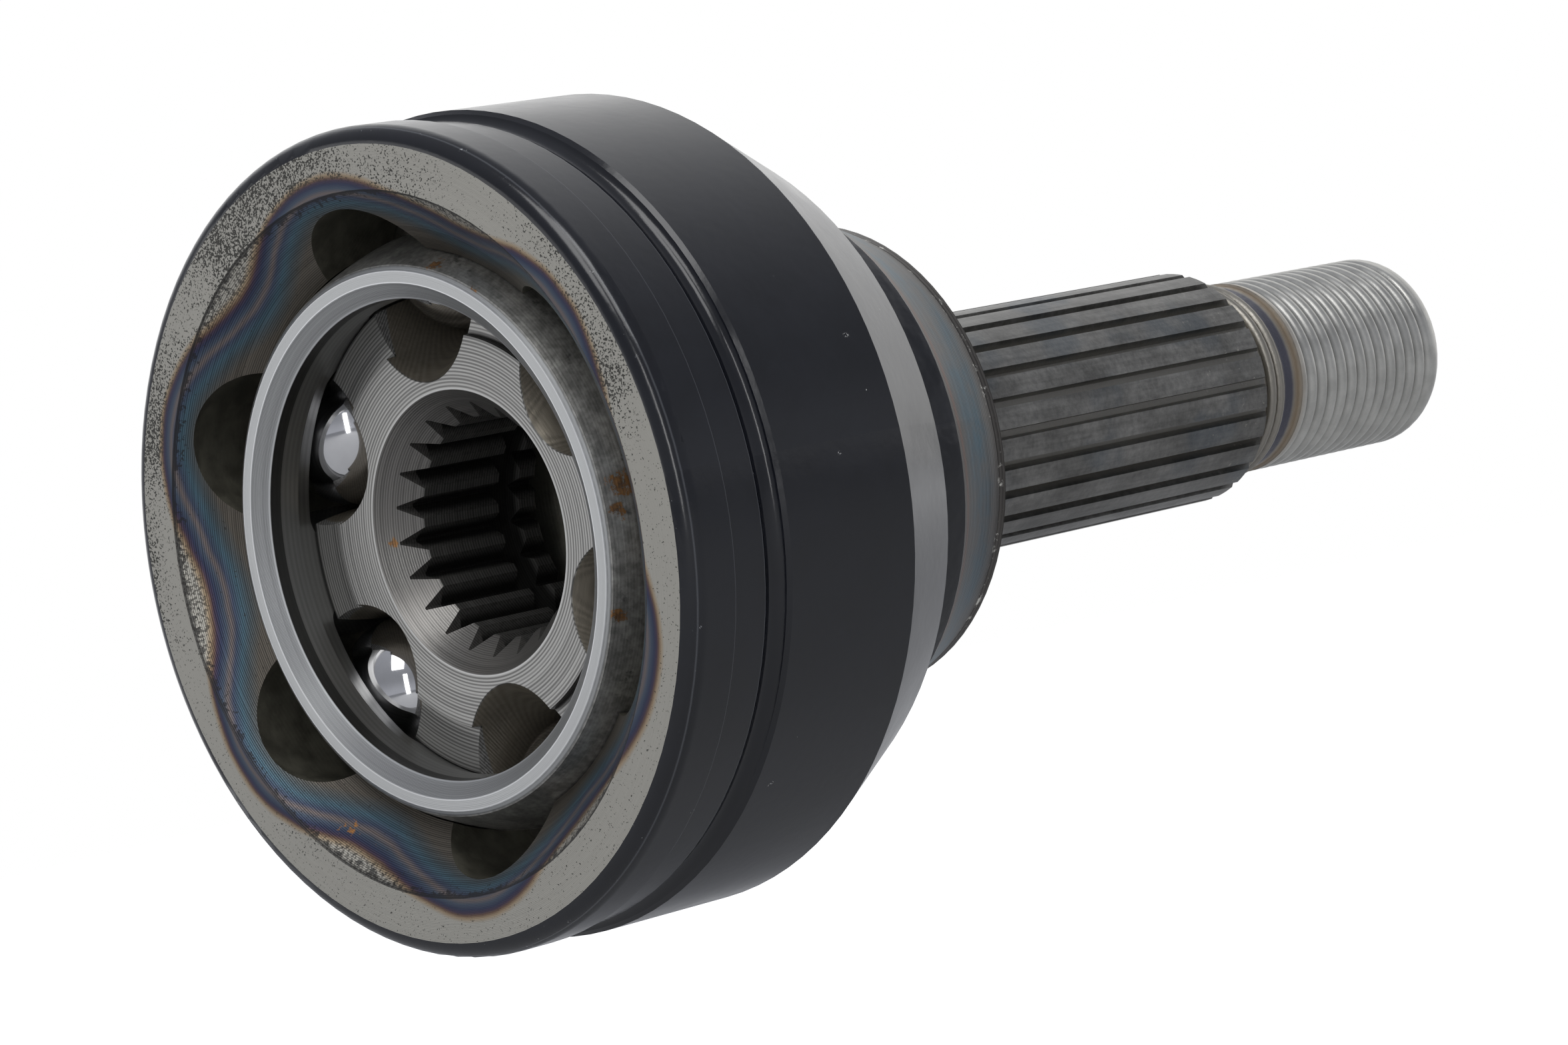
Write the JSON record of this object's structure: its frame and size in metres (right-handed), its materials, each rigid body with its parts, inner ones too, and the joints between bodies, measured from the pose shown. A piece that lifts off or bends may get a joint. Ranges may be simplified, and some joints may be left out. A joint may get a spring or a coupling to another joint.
{
  "type": "cv joint",
  "caption": "Fixed-ball constant-velocity joint: painted bell with splined, threaded stub shaft; inside, a caged set of balls and a splined inner race.",
  "frame": {"origin": "joint centre, where the two shaft axes cross, inside the inner race's splined bore", "axes": "+Y along the stub shaft towards its threaded end, the bell's mouth faces -Y, +Z points at the first ball track"},
  "size_m": [0.0842, 0.1535, 0.0842],
  "materials": {
    "painted_forging": "satin black paint; machined face, spline and thread bare steel",
    "ground_steel": "ground rings, dark mottled sphere",
    "turned_steel": "fine concentric turning lines",
    "polished_ball": "mirror polished"
  },
  "bodies": {
    "outer_race": {"outer_race": "painted_forging"},
    "cage": {"cage": "ground_steel"},
    "inner_race": {"inner_race": "turned_steel"},
    "ball_1": {"ball_1": "polished_ball"},
    "ball_2": {"ball_2": "polished_ball"},
    "ball_3": {"ball_3": "polished_ball"},
    "ball_4": {"ball_4": "polished_ball"},
    "ball_5": {"ball_5": "polished_ball"},
    "ball_6": {"ball_6": "polished_ball"}
  },
  "joints": [
    {"name": "inner_race_swing", "type": "hinge", "parent": "outer_race", "child": "inner_race", "pos_m": [0, 0, 0], "axis": [1, 0, 0], "range_deg": [-45, 45]},
    {"name": "cage_swing", "type": "hinge", "parent": "outer_race", "child": "cage", "pos_m": [0, 0, 0], "axis": [1, 0, 0], "range_deg": [-22.5, 22.5]},
    {"name": "ball_1_track", "type": "hinge", "parent": "outer_race", "child": "ball_1", "pos_m": [0, -0.004, 0], "axis": [1, 0, 0], "range_deg": [-22.5, 22.5]},
    {"name": "ball_2_track", "type": "hinge", "parent": "outer_race", "child": "ball_2", "pos_m": [0, -0.004, 0], "axis": [0.5, 0, -0.866], "range_deg": [-11.7, 11.7]},
    {"name": "ball_3_track", "type": "hinge", "parent": "outer_race", "child": "ball_3", "pos_m": [0, -0.004, 0], "axis": [0.5, 0, 0.866], "range_deg": [-11.7, 11.7]},
    {"name": "ball_4_track", "type": "hinge", "parent": "outer_race", "child": "ball_4", "pos_m": [0, -0.004, 0], "axis": [1, 0, 0], "range_deg": [-22.5, 22.5]},
    {"name": "ball_5_track", "type": "hinge", "parent": "outer_race", "child": "ball_5", "pos_m": [0, -0.004, 0], "axis": [0.5, 0, -0.866], "range_deg": [-11.7, 11.7]},
    {"name": "ball_6_track", "type": "hinge", "parent": "outer_race", "child": "ball_6", "pos_m": [0, -0.004, 0], "axis": [0.5, 0, 0.866], "range_deg": [-11.7, 11.7]}
  ],
  "couplings": [
    {"joint": "cage_swing", "follows": "inner_race_swing", "ratio": 0.5},
    {"joint": "ball_1_track", "follows": "inner_race_swing", "ratio": 0.5},
    {"joint": "ball_2_track", "follows": "inner_race_swing", "ratio": 0.26},
    {"joint": "ball_3_track", "follows": "inner_race_swing", "ratio": 0.26},
    {"joint": "ball_4_track", "follows": "inner_race_swing", "ratio": 0.5},
    {"joint": "ball_5_track", "follows": "inner_race_swing", "ratio": 0.26},
    {"joint": "ball_6_track", "follows": "inner_race_swing", "ratio": 0.26}
  ]
}
